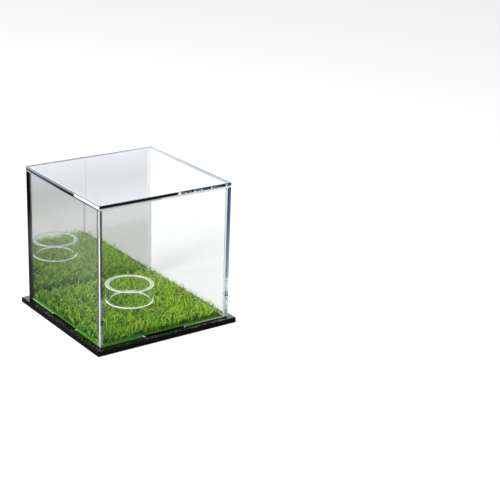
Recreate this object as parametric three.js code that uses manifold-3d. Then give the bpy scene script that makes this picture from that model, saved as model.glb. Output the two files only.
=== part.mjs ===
// Golf ball display case: a clear box with a mirrored back wall that lifts off a glossy
// black base, with an artificial turf mat and a clear ring that the ball sits in.
// Millimetres, +Z up, origin at the centre of the base's underside, front wall towards -Y.
import * as THREE from 'three';
import { mergeVertices } from 'three/addons/utils/BufferGeometryUtils.js';
import Module from 'manifold-3d';

const wasm = await Module();
wasm.setup();

// Clear cover
const CASE_SIDE = 100; // outside of the walls, left to right and front to back
const COVER_HEIGHT = 96.2; // lower edge of the walls to the top of the lid
const SHEET = 3; // every clear sheet, and the mirror with its film and backing
const SHEET_CHAMFER = 0.2; // broken edge round both faces of a sheet
const BOND = 0.1; // bonded seam between two sheets
const MIRROR_FILM = 0.1;
const MIRROR_BACKING = 0.2;

// Tabs under the walls, and the base's slots that take them
const TAB_LENGTH = 32;
const TAB_RECESS = 0.5; // from the base's underside up to the end of a tab
const SLOT_CLEARANCE = 0.2; // round each tab

// Base plate
const BASE_THICKNESS = 3.8;
const BASE_LEDGE = 4; // stands out beyond the walls all round
const BASE_CHAMFER = 0.3;
const CUT_OVERRUN = 1; // past both faces of the plate where a slot is cut

// A piece that only rests on another stands this far off it
const REST_GAP = 0.3;

// Artificial turf, and the gaps between the mat and the walls' inner faces
const TURF_LEFT_GAP = 0.6;
const TURF_RIGHT_GAP = 1.9;
const TURF_FRONT_GAP = 0.6;
const TURF_BACK_GAP = 1.2;
const TAPE_THICKNESS = 0.2;
const TAPE_WIDTH = 12;
const TAPE_INSET = 5; // from the mat's edges
const TURF_BACKING = 0.8; // lower layer of the mat
const TUFT_LAYER = 0.6; // upper layer, which the blades are tufted into
const PILE_HEIGHT = 5.5; // longest blade, above the tuft layer
const SHORTEST_SHARE = 0.75; // shortest blade, of the longest
const BLADE_WIDTH = 1.8;
const BLADE_LEAN = 1.6; // how far a tip may lean sideways
const BLADE_STRAY = 0.6; // how far a root may stand off its place in the rows
const BLADE_ROWS = 22; // both ways
const BLADE_SIDES = 3;
const SHOULDER_HEIGHT_SHARE = 0.55; // where a blade narrows and bends, of its height
const SHOULDER_WIDTH_SHARE = 0.72;
const SHOULDER_LEAN_SHARE = 0.3;
const BLADE_SEED = 11;

// Clear ring, a slice of tube
const RING_DIAMETER = 33.5; // outside
const RING_WALL = 2.6;
const RING_HEIGHT = 12;
const RING_CHAMFER = 0.3;
const RING_X = -1;
const RING_Y = -3.3;
const RING_SEGMENTS = 72;

// Places that follow from the sizes
const halfCase = CASE_SIDE / 2;
const halfInside = halfCase - SHEET;
const baseSide = CASE_SIDE + 2 * BASE_LEDGE;
const wallBottom = BASE_THICKNESS + REST_GAP;
const wallHeight = COVER_HEIGHT - SHEET - BOND;
const sideWallLength = 2 * (halfInside - BOND);
const tabDepth = wallBottom - TAB_RECESS;
const turfLeft = TURF_LEFT_GAP - halfInside;
const turfFront = TURF_FRONT_GAP - halfInside;
const turfWidth = halfInside - TURF_RIGHT_GAP - turfLeft;
const turfDepth = halfInside - TURF_BACK_GAP - turfFront;
const backingBottom = BASE_THICKNESS + TAPE_THICKNESS;
const tuftBottom = backingBottom + TURF_BACKING;
const tuftTop = tuftBottom + TUFT_LAYER;
const ringBottom = tuftTop + PILE_HEIGHT + REST_GAP;

// Materials
const clearAcrylic = () => new THREE.MeshStandardMaterial({
  color: 0xeef4f7, roughness: 0.03, metalness: 0, transparent: true, opacity: 0.25,
});
const blackAcrylic = () => new THREE.MeshStandardMaterial({
  color: 0x0b0b0c, roughness: 0.06, metalness: 0,
});
const mirrorSilver = () => new THREE.MeshStandardMaterial({
  color: 0xd9dcdb, roughness: 0.02, metalness: 1,
});
const mirrorPaint = () => new THREE.MeshStandardMaterial({
  color: 0x3a3b3d, roughness: 0.6, metalness: 0,
});
const turfGreen = () => new THREE.MeshStandardMaterial({
  color: 0x5f9a1e, roughness: 0.7, metalness: 0,
});
const turfBase = () => new THREE.MeshStandardMaterial({
  color: 0x4f9c12, roughness: 0.8, metalness: 0,
});
const tapeWhite = () => new THREE.MeshStandardMaterial({
  color: 0xe6e6e0, roughness: 0.7, metalness: 0,
});

// One named piece
function piece(name, geometry, material) {
  const mesh = new THREE.Mesh(geometry, material);
  mesh.name = name;
  return mesh;
}

// A closed geometry as a solid that can be cut or joined
function solidOf(geometry) {
  geometry.deleteAttribute('normal');
  geometry.deleteAttribute('uv');
  const merged = mergeVertices(geometry);
  return new wasm.Manifold(new wasm.Mesh({
    numProp: 3,
    vertProperties: new Float32Array(merged.attributes.position.array),
    triVerts: new Uint32Array(merged.index.array),
  }));
}

function geometryOf(solid) {
  const mesh = solid.getMesh();
  const geometry = new THREE.BufferGeometry();
  geometry.setAttribute('position', new THREE.BufferAttribute(mesh.vertProperties, 3));
  geometry.setIndex(new THREE.BufferAttribute(mesh.triVerts, 1));
  geometry.computeVertexNormals();
  return geometry;
}

// A square outline about the middle
function square(side) {
  const outline = new THREE.Shape();
  outline.moveTo(-side / 2, -side / 2);
  outline.lineTo(side / 2, -side / 2);
  outline.lineTo(side / 2, side / 2);
  outline.lineTo(-side / 2, side / 2);
  outline.closePath();
  return outline;
}

// A flat sheet of an outline, from z = 0 up, with broken edges round both faces
function sheet(outline, thickness, chamfer) {
  const geometry = new THREE.ExtrudeGeometry(outline, {
    depth: thickness - 2 * chamfer,
    bevelEnabled: chamfer > 0,
    bevelThickness: chamfer,
    bevelSize: chamfer,
    bevelOffset: -chamfer,
    bevelSegments: 1,
  });
  return geometry.translate(0, 0, chamfer);
}

// A wall's outline: its lower edge on y = 0, with a tab below the middle third
function wallOutline(length) {
  const outline = new THREE.Shape();
  outline.moveTo(-length / 2, 0);
  outline.lineTo(-TAB_LENGTH / 2, 0);
  outline.lineTo(-TAB_LENGTH / 2, -tabDepth);
  outline.lineTo(TAB_LENGTH / 2, -tabDepth);
  outline.lineTo(TAB_LENGTH / 2, 0);
  outline.lineTo(length / 2, 0);
  outline.lineTo(length / 2, wallHeight);
  outline.lineTo(-length / 2, wallHeight);
  outline.closePath();
  return outline;
}

// A standing sheet of the front side, whose outer face is outerFace away from the middle
function standingSheet(name, length, thickness, outerFace, chamfer, material) {
  const mesh = piece(name, sheet(wallOutline(length), thickness, chamfer), material);
  mesh.rotation.x = Math.PI / 2;
  mesh.position.set(0, thickness - outerFace, wallBottom);
  return mesh;
}

// Turns what is made for the front side to another side of the case
function onSide(quarterTurns, ...meshes) {
  const side = new THREE.Group();
  side.rotation.z = quarterTurns * Math.PI / 2;
  side.add(...meshes);
  return side;
}

// The back wall: a clear sheet, the film behind it and the backing on the outside
function mirrorSheets() {
  const filmFace = halfCase - MIRROR_BACKING;
  const sheetFace = filmFace - MIRROR_FILM - BOND;
  const sheetThickness = sheetFace - halfInside;
  return [
    standingSheet('mirror_wall', CASE_SIDE, sheetThickness, sheetFace, SHEET_CHAMFER, clearAcrylic()),
    standingSheet('mirror_film', CASE_SIDE, MIRROR_FILM, filmFace, 0, mirrorSilver()),
    standingSheet('mirror_backing', CASE_SIDE, MIRROR_BACKING, halfCase, 0, mirrorPaint()),
  ];
}

function topPanel() {
  const outline = square(CASE_SIDE);
  const mesh = piece('top_panel', sheet(outline, SHEET, SHEET_CHAMFER), clearAcrylic());
  mesh.position.z = wallBottom + COVER_HEIGHT - SHEET;
  return mesh;
}

function cover() {
  const group = new THREE.Group();
  const wall = (name, length) => standingSheet(
    name, length, SHEET, halfCase, SHEET_CHAMFER, clearAcrylic(),
  );
  group.add(
    onSide(0, wall('front_wall', CASE_SIDE)),
    onSide(-1, wall('left_wall', sideWallLength)),
    onSide(1, wall('right_wall', sideWallLength)),
    onSide(2, ...mirrorSheets()),
    topPanel(),
  );
  return group;
}

// A rectangle cut through the base plate, centred on x and y
function slotCutter(x, y, width, depth) {
  const cutter = new THREE.BoxGeometry(width, depth, BASE_THICKNESS + 2 * CUT_OVERRUN);
  return solidOf(cutter.translate(x, y, BASE_THICKNESS / 2));
}

function basePlate() {
  const outline = square(baseSide);
  const slotCentre = halfCase - SHEET / 2;
  const slotLength = TAB_LENGTH + 2 * SLOT_CLEARANCE;
  const slotWidth = SHEET + 2 * SLOT_CLEARANCE;
  let plate = solidOf(sheet(outline, BASE_THICKNESS, BASE_CHAMFER));
  for (const side of [-1, 1]) {
    plate = plate
      .subtract(slotCutter(0, side * slotCentre, slotLength, slotWidth))
      .subtract(slotCutter(side * slotCentre, 0, slotWidth, slotLength));
  }
  return piece('base_plate', geometryOf(plate), blackAcrylic());
}

function tapeStrip(name, centreX) {
  const length = turfDepth - 2 * TAPE_INSET;
  const mesh = piece(name, new THREE.BoxGeometry(TAPE_WIDTH, length, TAPE_THICKNESS), tapeWhite());
  mesh.position.set(centreX, turfFront + turfDepth / 2, BASE_THICKNESS + TAPE_THICKNESS / 2);
  return mesh;
}

function turfBacking() {
  const mesh = piece('turf_backing', new THREE.BoxGeometry(turfWidth, turfDepth, TURF_BACKING), turfBase());
  mesh.position.set(turfLeft + turfWidth / 2, turfFront + turfDepth / 2, backingBottom + TURF_BACKING / 2);
  return mesh;
}

// The points of one blade: a root ring inside the tuft layer, a shoulder ring and a tip
function bladePoints(x, y, height, leanX, leanY, turn) {
  const ring = (shift, z, radius) => Array.from({ length: BLADE_SIDES }, (_, side) => {
    const angle = turn + side * 2 * Math.PI / BLADE_SIDES;
    return [
      x + shift * leanX + radius * Math.cos(angle),
      y + shift * leanY + radius * Math.sin(angle),
      z,
    ];
  });
  return [
    ...ring(0, tuftTop - TUFT_LAYER / 2, BLADE_WIDTH / 2),
    ...ring(
      SHOULDER_LEAN_SHARE,
      tuftTop + SHOULDER_HEIGHT_SHARE * height,
      SHOULDER_WIDTH_SHARE * BLADE_WIDTH / 2,
    ),
    [x + leanX, y + leanY, tuftTop + height],
  ];
}

// The faces of one blade whose points start at first
function bladeFaces(first) {
  const faces = [];
  const tip = first + 2 * BLADE_SIDES;
  for (let side = 0; side < BLADE_SIDES; side += 1) {
    const root = first + side;
    const nextRoot = first + (side + 1) % BLADE_SIDES;
    const shoulder = root + BLADE_SIDES;
    const nextShoulder = nextRoot + BLADE_SIDES;
    faces.push(root, nextRoot, nextShoulder);
    faces.push(root, nextShoulder, shoulder);
    faces.push(shoulder, nextShoulder, tip);
  }
  for (let side = 1; side < BLADE_SIDES - 1; side += 1) {
    faces.push(first, first + side + 1, first + side);
  }
  return faces;
}

// The blades in rows, each a little off its place, of its own height and lean. Those under
// the ring all reach its seat.
function bladesGeometry() {
  const chance = THREE.MathUtils.seededRandom;
  chance(BLADE_SEED);
  const either = (reach) => reach * (2 * chance() - 1);
  const margin = BLADE_STRAY + Math.max(BLADE_LEAN, BLADE_WIDTH / 2);
  const place = (start, length, row) => (
    start + margin + (length - 2 * margin) * row / (BLADE_ROWS - 1)
  );
  const ringMiddle = (RING_DIAMETER - RING_WALL) / 2;
  const points = [];
  const faces = [];
  for (let row = 0; row < BLADE_ROWS; row += 1) {
    for (let column = 0; column < BLADE_ROWS; column += 1) {
      const x = place(turfLeft, turfWidth, column) + either(BLADE_STRAY);
      const y = place(turfFront, turfDepth, row) + either(BLADE_STRAY);
      const share = SHORTEST_SHARE + (1 - SHORTEST_SHARE) * chance();
      const offRing = Math.abs(Math.hypot(x - RING_X, y - RING_Y) - ringMiddle);
      const height = offRing < RING_WALL / 2 ? PILE_HEIGHT : share * PILE_HEIGHT;
      const leanAngle = 2 * Math.PI * chance();
      const lean = BLADE_LEAN * chance();
      faces.push(...bladeFaces(points.length));
      points.push(...bladePoints(
        x, y, height, lean * Math.cos(leanAngle), lean * Math.sin(leanAngle), 2 * Math.PI * chance(),
      ));
    }
  }
  const geometry = new THREE.BufferGeometry();
  geometry.setAttribute('position', new THREE.Float32BufferAttribute(points.flat(), 3));
  geometry.setIndex(faces);
  return geometry;
}

// The upper layer of the mat with its blades joined to it
function turfPile() {
  const layer = new THREE.BoxGeometry(turfWidth, turfDepth, TUFT_LAYER);
  layer.translate(turfLeft + turfWidth / 2, turfFront + turfDepth / 2, tuftBottom + TUFT_LAYER / 2);
  const joined = solidOf(layer).add(solidOf(bladesGeometry()));
  return piece('turf_pile', geometryOf(joined), turfGreen());
}

function turf() {
  const group = new THREE.Group();
  const tapeMiddle = TAPE_INSET + TAPE_WIDTH / 2;
  group.add(
    tapeStrip('turf_tape_left', turfLeft + tapeMiddle),
    tapeStrip('turf_tape_right', turfLeft + turfWidth - tapeMiddle),
    turfBacking(),
    turfPile(),
  );
  return group;
}

function ringHolder() {
  const outer = RING_DIAMETER / 2;
  const inner = outer - RING_WALL;
  const profile = [
    [inner + RING_CHAMFER, 0],
    [outer - RING_CHAMFER, 0],
    [outer, RING_CHAMFER],
    [outer, RING_HEIGHT - RING_CHAMFER],
    [outer - RING_CHAMFER, RING_HEIGHT],
    [inner + RING_CHAMFER, RING_HEIGHT],
    [inner, RING_HEIGHT - RING_CHAMFER],
    [inner, RING_CHAMFER],
    [inner + RING_CHAMFER, 0],
  ].map(([radius, height]) => new THREE.Vector2(radius, height));
  const mesh = piece('ring_holder', new THREE.LatheGeometry(profile, RING_SEGMENTS), clearAcrylic());
  mesh.rotation.x = Math.PI / 2;
  mesh.position.set(RING_X, RING_Y, ringBottom);
  return mesh;
}

const displayCase = new THREE.Group();
displayCase.name = 'golf_ball_display_case';
displayCase.add(basePlate(), turf(), ringHolder(), cover());

export default displayCase;
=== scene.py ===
"""Golf ball display case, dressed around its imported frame.

A clear cover with a mirrored back wall stands on a glossy black base. Inside lie an
artificial turf mat and a clear ring, the ball's seat. Metres, +Z up, front towards -Y.
"""

import logging
import math
from collections.abc import Sequence
from dataclasses import dataclass, fields
from enum import Enum
from typing import Any

import bmesh
import bpy
from mathutils import Matrix, Vector


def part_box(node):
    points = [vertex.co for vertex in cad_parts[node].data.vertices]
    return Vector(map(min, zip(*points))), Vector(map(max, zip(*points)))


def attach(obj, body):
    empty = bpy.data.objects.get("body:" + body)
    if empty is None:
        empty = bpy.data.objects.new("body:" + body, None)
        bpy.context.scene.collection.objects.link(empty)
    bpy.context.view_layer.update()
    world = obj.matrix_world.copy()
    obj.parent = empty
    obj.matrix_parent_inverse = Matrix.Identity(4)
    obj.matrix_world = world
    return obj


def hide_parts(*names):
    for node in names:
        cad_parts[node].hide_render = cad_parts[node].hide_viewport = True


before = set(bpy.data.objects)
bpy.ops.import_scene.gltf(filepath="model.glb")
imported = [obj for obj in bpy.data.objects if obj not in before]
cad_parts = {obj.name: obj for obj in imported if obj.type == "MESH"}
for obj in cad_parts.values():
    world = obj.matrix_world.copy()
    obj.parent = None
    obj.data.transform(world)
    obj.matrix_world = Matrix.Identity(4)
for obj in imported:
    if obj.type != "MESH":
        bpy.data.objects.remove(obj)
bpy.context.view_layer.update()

LOG = logging.getLogger("display_case")
MM = 0.001
ACRYLIC_IOR = 1.49
Triple = tuple[float, float, float]
Colour = Triple
Stops = Sequence[tuple[float, Colour]]
Inputs = dict[str, tuple[str, Any]]
Settings = dict[str, Any] | None
Sockets = dict[str | int, Any] | None


class Slot(Enum):
    """The record's material slots, which no piece in this script takes."""

    CLEAR_ACRYLIC = "clear_acrylic"
    TURF_PILE = "turf_pile"


class Body(Enum):
    """Bodies that the pieces ride on."""

    BASE = "base"
    RING = "ring"
    COVER = "cover"


class Wire:
    """An output socket that sums and products can be written with."""

    def __init__(self, net: "Net", socket: bpy.types.NodeSocket) -> None:
        """Holds the socket and the tree that it is in."""
        self.net = net
        self.socket = socket

    def math(self, operation: str, *others: Any) -> "Wire":
        """A Math node on this value, with others as its further values or links."""
        sockets = dict(enumerate((self, *others)))
        return self.net.out("ShaderNodeMath", {"operation": operation}, sockets)

    def __add__(self, other: Any) -> "Wire":
        """This plus other."""
        return self.math("ADD", other)

    def __sub__(self, other: Any) -> "Wire":
        """This less other."""
        return self.math("SUBTRACT", other)

    def __rsub__(self, other: float) -> "Wire":
        """Other less this."""
        return self.net.out("ShaderNodeMath", {"operation": "SUBTRACT"}, {0: other, 1: self})

    def __mul__(self, other: Any) -> "Wire":
        """This times other."""
        return self.math("MULTIPLY", other)

    def __truediv__(self, other: Any) -> "Wire":
        """This over other."""
        return self.math("DIVIDE", other)

    def __pow__(self, other: Any) -> "Wire":
        """This to the power other."""
        return self.math("POWER", other)

    def rise(self, low: float, high: float) -> "Wire":
        """0 where this is low, 1 where it is high, and smooth between."""
        sockets = {"Value": self, "From Min": low, "From Max": high}
        return self.net.out("ShaderNodeMapRange", {"interpolation_type": "SMOOTHSTEP"}, sockets)

    __radd__ = __add__
    __rmul__ = __mul__


class Net:
    """A node tree that is being built."""

    def __init__(self, tree: bpy.types.NodeTree) -> None:
        """Holds the tree."""
        self.tree = tree

    def add(
        self, kind: str, settings: Settings = None, sockets: Sockets = None
    ) -> bpy.types.Node:
        """Adds a node.

        Args:
            kind: the node's type.
            settings: its properties.
            sockets: values or links for its inputs, by name or number.

        Returns:
            The node.
        """
        node = self.tree.nodes.new(kind)
        for name, value in (settings or {}).items():
            setattr(node, name, value)
        for key, value in (sockets or {}).items():
            if isinstance(value, Wire):
                self.tree.links.new(value.socket, node.inputs[key])
            else:
                node.inputs[key].default_value = value
        return node

    def out(
        self, kind: str, settings: Settings = None, sockets: Sockets = None, output: str | int = 0
    ) -> Wire:
        """Adds a node, as add does, and gives one of its outputs."""
        return Wire(self, self.add(kind, settings, sockets).outputs[output])

    def make(self, kind: str, **sockets: Any) -> Wire:
        """Adds a node without settings and gives its first output.

        Args:
            kind: the node's type.
            sockets: its inputs by name, with _ for a space and colours without an alpha.

        Returns:
            The output.
        """
        named = {}
        for key, value in sockets.items():
            named[key.replace("_", " ")] = opaque(value) if key.endswith("Color") else value
        return self.out(kind, None, named)

    def principled(self, **sockets: Any) -> Wire:
        """A Principled shader, with its inputs as make takes them."""
        return self.make("ShaderNodeBsdfPrincipled", **sockets)

    def bump(self, height: Wire, strength: float, depth: float) -> Wire:
        """A normal bent by height, where depth is the metres that 1 stands above 0."""
        return self.make("ShaderNodeBump", Strength=strength, Distance=depth, Height=height)

    def mix(self, share: Any, first: Any, second: Any) -> Wire:
        """Two colours mixed, where share, from 0 to 1, is how much of the second there is."""
        sockets = {0: share, 6: opaque(first), 7: opaque(second)}
        return self.out("ShaderNodeMix", {"data_type": "RGBA"}, sockets, 2)

    def noise(self, place: Wire, scale: float, detail: float = 2.0, rough: float = 0.5) -> Wire:
        """Noise from 0 to 1 at a place, with scale in features to the metre."""
        return self.make("ShaderNodeTexNoise", Vector=place, Scale=scale, Detail=detail, Roughness=rough)

    def ramp(self, share: Wire, stops: Stops) -> Wire:
        """A colour ramp's colour.

        Args:
            share: the place on the ramp.
            stops: each stop's place and colour.

        Returns:
            The colour.
        """
        node = self.add("ShaderNodeValToRGB", None, {0: share})
        elements = node.color_ramp.elements
        while len(elements) < len(stops):
            elements.new(1.0)
        for element, (at, colour) in zip(elements, stops):
            element.position = at
            element.color = opaque(colour)
        return Wire(self, node.outputs[0])

    def parts(self, vector: Wire) -> tuple[Wire, Wire, Wire]:
        """A vector's three parts."""
        node = self.add("ShaderNodeSeparateXYZ", None, {0: vector})
        return tuple(Wire(self, node.outputs[axis]) for axis in range(3))

    def vector(self, x: Any, y: Any, z: Any) -> Wire:
        """A vector of three parts."""
        return self.out("ShaderNodeCombineXYZ", None, {0: x, 1: y, 2: z})

    def vector_math(self, operation: str, *values: Any, output: str = "Vector") -> Wire:
        """A Vector Math node's output."""
        settings = {"operation": operation}
        return self.out("ShaderNodeVectorMath", settings, dict(enumerate(values)), output)

    def place(self, stretch: Triple = (1.0, 1.0, 1.0)) -> Wire:
        """Object coordinates, each axis times its part of stretch."""
        place = self.out("ShaderNodeTexCoord", output="Object")
        return self.make("ShaderNodeMapping", Vector=place, Scale=stretch)


def fresh_net(owner: bpy.types.Material | bpy.types.World) -> Net:
    """The emptied node tree of a material or world.

    Args:
        owner: the new material or world.

    Returns:
        Its tree.
    """
    owner.use_nodes = True
    owner.node_tree.nodes.clear()
    return Net(owner.node_tree)


def opaque(colour: Any) -> Any:
    """A colour with an alpha of 1, or the wire as it is."""
    return colour if isinstance(colour, Wire) else (*colour, 1.0)


@dataclass(frozen=True)
class Finish:
    """What every surface finish has."""

    name: str

    def surface(self, net: Net) -> Wire:
        """The finish's shader.

        Args:
            net: the tree.

        Returns:
            The shader.
        """
        raise NotImplementedError

    def material(self) -> bpy.types.Material:
        """The finish as a material, made once.

        Returns:
            The material.
        """
        made = bpy.data.materials.get(self.name)
        if made is None:
            made = bpy.data.materials.new(self.name)
            net = fresh_net(made)
            net.add("ShaderNodeOutputMaterial", None, {"Surface": self.surface(net)})
        return made


def lets_light_through(net: Net, surface: Wire, tint: Colour) -> Wire:
    """A clear surface that shadow and diffuse rays pass straight through.

    Args:
        net: the tree.
        surface: the surface that the other rays meet.
        tint: what passes straight through it is tinted.

    Returns:
        The shader.
    """
    paths = net.add("ShaderNodeLightPath").outputs
    shadow = Wire(net, paths["Is Shadow Ray"])
    share = shadow.math("MAXIMUM", Wire(net, paths["Is Diffuse Ray"]))
    clear = net.make("ShaderNodeBsdfTransparent", Color=tint)
    return net.out("ShaderNodeMixShader", None, {0: share, 1: surface, 2: clear})


@dataclass(frozen=True)
class ClearAcrylic(Finish):
    """Polished clear acrylic with a little haze from handling."""

    tint: Colour = (0.985, 0.99, 0.992)
    haze_tint: Colour = (0.965, 0.975, 0.98)
    ior: float = ACRYLIC_IOR
    shadow: Colour = (0.95, 0.955, 0.957)
    haze_size: float = 0.03
    wipe: Triple = (1.0, 1.0, 6.0)
    wiped_from: float = 0.5
    scuff: float = 0.02

    def surface(self, net: Net) -> Wire:
        """Refracting acrylic whose polish varies slightly.

        Args:
            net: the tree.

        Returns:
            The shader.
        """
        haze = net.noise(net.place(), 1 / self.haze_size, 4.0)
        colour = net.mix(haze, self.tint, self.haze_tint)
        wiped = net.noise(net.place(self.wipe), 1 / self.haze_size, 3.0)
        rough = (wiped.math("MAXIMUM", self.wiped_from) - self.wiped_from) * self.scuff
        body = net.principled(
            Base_Color=colour, Roughness=rough, IOR=self.ior, Transmission_Weight=1.0
        )
        return lets_light_through(net, body, self.shadow)


@dataclass(frozen=True)
class Reach:
    """A stretch along one axis in millimetres, fading in and out at its ends."""

    axis: int
    start: float
    end: float
    fade: float = 0.2

    def cover(self, net: Net, place: Wire) -> Wire:
        """How far the stretch covers a place.

        Args:
            net: the tree.
            place: the coordinates.

        Returns:
            0 outside it, 1 inside it.
        """
        along = net.parts(place)[self.axis]
        start, end, fade = self.start * MM, self.end * MM, self.fade * MM
        return along.rise(start, start + fade) * (1 - along.rise(end - fade, end))


@dataclass(frozen=True)
class PaintedReflection:
    """A painted highlight or painted dark reflection on a patch of a cut edge, whole or in grains."""

    colour: Colour
    reaches: tuple[Reach, ...]
    grain: float = 0.0
    glint_from: float = 0.5

    GLINT_FADE = 0.02

    def cover(self, net: Net, place: Wire) -> Wire:
        """How far the painted reflection covers the edge at a place.

        Args:
            net: the tree.
            place: the coordinates.

        Returns:
            0 off the mark, 1 on it.
        """
        cover = self.reaches[0].cover(net, place)
        for reach in self.reaches[1:]:
            cover = cover * reach.cover(net, place)
        # Grains break the painted highlight or painted dark reflection into small glints.
        if self.grain:
            glints = net.noise(place, 1 / (self.grain * MM), 1.0)
            low, high = self.glint_from - self.GLINT_FADE, self.glint_from + self.GLINT_FADE
            cover = cover * glints.rise(low, high)
        return cover


@dataclass(frozen=True)
class CutEdge(Finish):
    """A laser-cut edge of a clear sheet, whose painted tone changes along it in millimetres.

    What a clear sheet's edge shows is light led through the sheet, so its tones and marks
    are painted reflections and highlights, streaked along the cut, with little gloss of its
    own; from inside the sheet it has a painted colour that can look different.
    """

    along: int
    tones: Stops
    streak: Colour
    streaks: float = 0.35
    # Painted highlights and painted dark reflections on patches of the edge.
    marks: tuple[PaintedReflection, ...] = ()
    # Painted colour of the edge seen from inside the sheet, standing in for what it reflects there.
    inside: Colour | None = None
    gloss: float = 0.06
    # Painted glow: the edge lights itself, though it is no lamp.
    glow: float = 0.0
    shadow: Colour = (0.8, 0.82, 0.84)

    TONES_FROM = -60 * MM
    TONES_LENGTH = 170 * MM
    STREAK_FINE = 60.0
    STREAK_COARSE = 2000.0
    STREAK_BAND = (0.4, 0.66)
    GRIT = 2500.0

    def surface(self, net: Net) -> Wire:
        """Painted tones, streaked along the cut, with their painted reflections.

        Args:
            net: the tree.

        Returns:
            The shader.
        """
        place = net.place()
        along = net.parts(place)[self.along]
        stops = [((at * MM - self.TONES_FROM) / self.TONES_LENGTH, tone) for at, tone in self.tones]
        colour = net.ramp((along - self.TONES_FROM) / self.TONES_LENGTH, stops)
        stretch = [self.STREAK_COARSE] * 3
        stretch[self.along] = self.STREAK_FINE
        streak = net.noise(net.place(tuple(stretch)), 1.0, 3.0, 0.6)
        colour = net.mix(streak.rise(*self.STREAK_BAND) * self.streaks, colour, self.streak)
        for painted_reflection in self.marks:
            colour = net.mix(painted_reflection.cover(net, place), colour, painted_reflection.colour)
        # Painted inside colour where the edge is seen from behind.
        if self.inside is not None:
            behind = net.out("ShaderNodeNewGeometry", output="Backfacing")
            colour = net.mix(behind, colour, self.inside)
        fine = net.noise(place, self.GRIT, 2.0)
        gloss = net.principled(
            Base_Color=colour, Roughness=fine * 0.2 + 0.1, IOR=ACRYLIC_IOR,
            Specular_IOR_Level=self.gloss, Emission_Color=colour, Emission_Strength=self.glow,
            Normal=net.bump(fine, 0.1, 0.02 * MM),
        )
        return lets_light_through(net, gloss, self.shadow)


@dataclass(frozen=True)
class SawnRim(Finish):
    """The cut end of a clear tube: fine frost that scatters the light, with a painted glow on some rims.
    """

    frost: Colour
    spark: Colour
    cover: float
    # Painted glow: the frost lights itself, though the rim is no lamp.
    glow: float = 0.0
    body: Colour = (0.97, 0.99, 0.99)
    shadow: Colour = (0.8, 0.8, 0.8)

    SAW_MARKS = 1500.0
    SAW_STRETCH = (1.0, 1.0, 0.2)
    PATCHINESS = 0.4

    def surface(self, net: Net) -> Wire:
        """Frosted acrylic, part scattering and part see-through.

        Args:
            net: the tree.

        Returns:
            The shader.
        """
        marks = net.noise(net.place(self.SAW_STRETCH), self.SAW_MARKS, 3.0)
        colour = net.mix(marks, self.frost, self.spark)
        frost = net.principled(
            Base_Color=colour, Roughness=marks * 0.2 + 0.35, IOR=ACRYLIC_IOR,
            Emission_Color=colour, Emission_Strength=self.glow,
            Normal=net.bump(marks, 0.4, 0.05 * MM),
        )
        clear = net.principled(
            Base_Color=self.body, Roughness=0.15, IOR=ACRYLIC_IOR, Transmission_Weight=1.0
        )
        patchy = (marks - 0.5) * self.PATCHINESS + self.cover
        rim = net.out("ShaderNodeMixShader", None, {0: patchy, 1: clear, 2: frost})
        return lets_light_through(net, rim, self.shadow)


@dataclass(frozen=True)
class BlackAcrylic(Finish):
    """Polished black acrylic with faint dust and wipe marks."""

    colour: Colour = (0.003, 0.003, 0.0035)
    dust: Colour = (0.016, 0.015, 0.015)

    WIPES = 90.0
    WIPE_STRETCH = (1.0, 4.0, 1.0)
    SPECKS = 1400.0
    SPECKS_FROM = 0.6
    SPECK_STRENGTH = 2.0

    def surface(self, net: Net) -> Wire:
        """Black gloss.

        Args:
            net: the tree.

        Returns:
            The shader.
        """
        wipes = net.noise(net.place(self.WIPE_STRETCH), self.WIPES, 4.0, 0.6)
        specks = net.noise(net.place(), self.SPECKS, 2.0)
        dust = (specks.math("MAXIMUM", self.SPECKS_FROM) - self.SPECKS_FROM) * self.SPECK_STRENGTH
        return net.principled(
            Base_Color=net.mix(dust, self.colour, self.dust), Roughness=wipes * 0.08 + 0.02,
            IOR=ACRYLIC_IOR, Coat_Weight=0.2, Coat_Roughness=0.03,
            Normal=net.bump(wipes, 0.02, 0.05 * MM),
        )


@dataclass(frozen=True)
class MirrorSilver(Finish):
    """The reflecting film, a little uneven as it is on acrylic."""

    bright: Colour = (0.80, 0.81, 0.80)
    dull: Colour = (0.77, 0.78, 0.77)

    WAVES = 60.0

    def surface(self, net: Net) -> Wire:
        """Bright metal.

        Args:
            net: the tree.

        Returns:
            The shader.
        """
        wave = net.noise(net.place(), self.WAVES, 1.0)
        return net.principled(
            Base_Color=net.mix(wave, self.bright, self.dull), Metallic=1.0,
            Roughness=wave * 0.02, Normal=net.bump(wave, 0.02, 0.1 * MM),
        )


@dataclass(frozen=True)
class MirrorPaint(Finish):
    """Grey protective paint on the back of the mirror."""

    colour: Colour = (0.11, 0.115, 0.12)
    worn: Colour = (0.17, 0.175, 0.18)

    PEEL = 900.0
    RUBBED = 45.0
    RUB_STRETCH = (1.0, 1.0, 2.5)

    def surface(self, net: Net) -> Wire:
        """Satin paint with orange peel and rubbed patches.

        Args:
            net: the tree.

        Returns:
            The shader.
        """
        peel = net.noise(net.place(), self.PEEL, 2.0)
        rubbed = net.noise(net.place(self.RUB_STRETCH), self.RUBBED, 5.0, 0.62)
        return net.principled(
            Base_Color=net.mix(rubbed, self.colour, self.worn), Roughness=rubbed * 0.25 + 0.35,
            Normal=net.bump(peel, 0.25, 0.05 * MM),
        )


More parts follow.
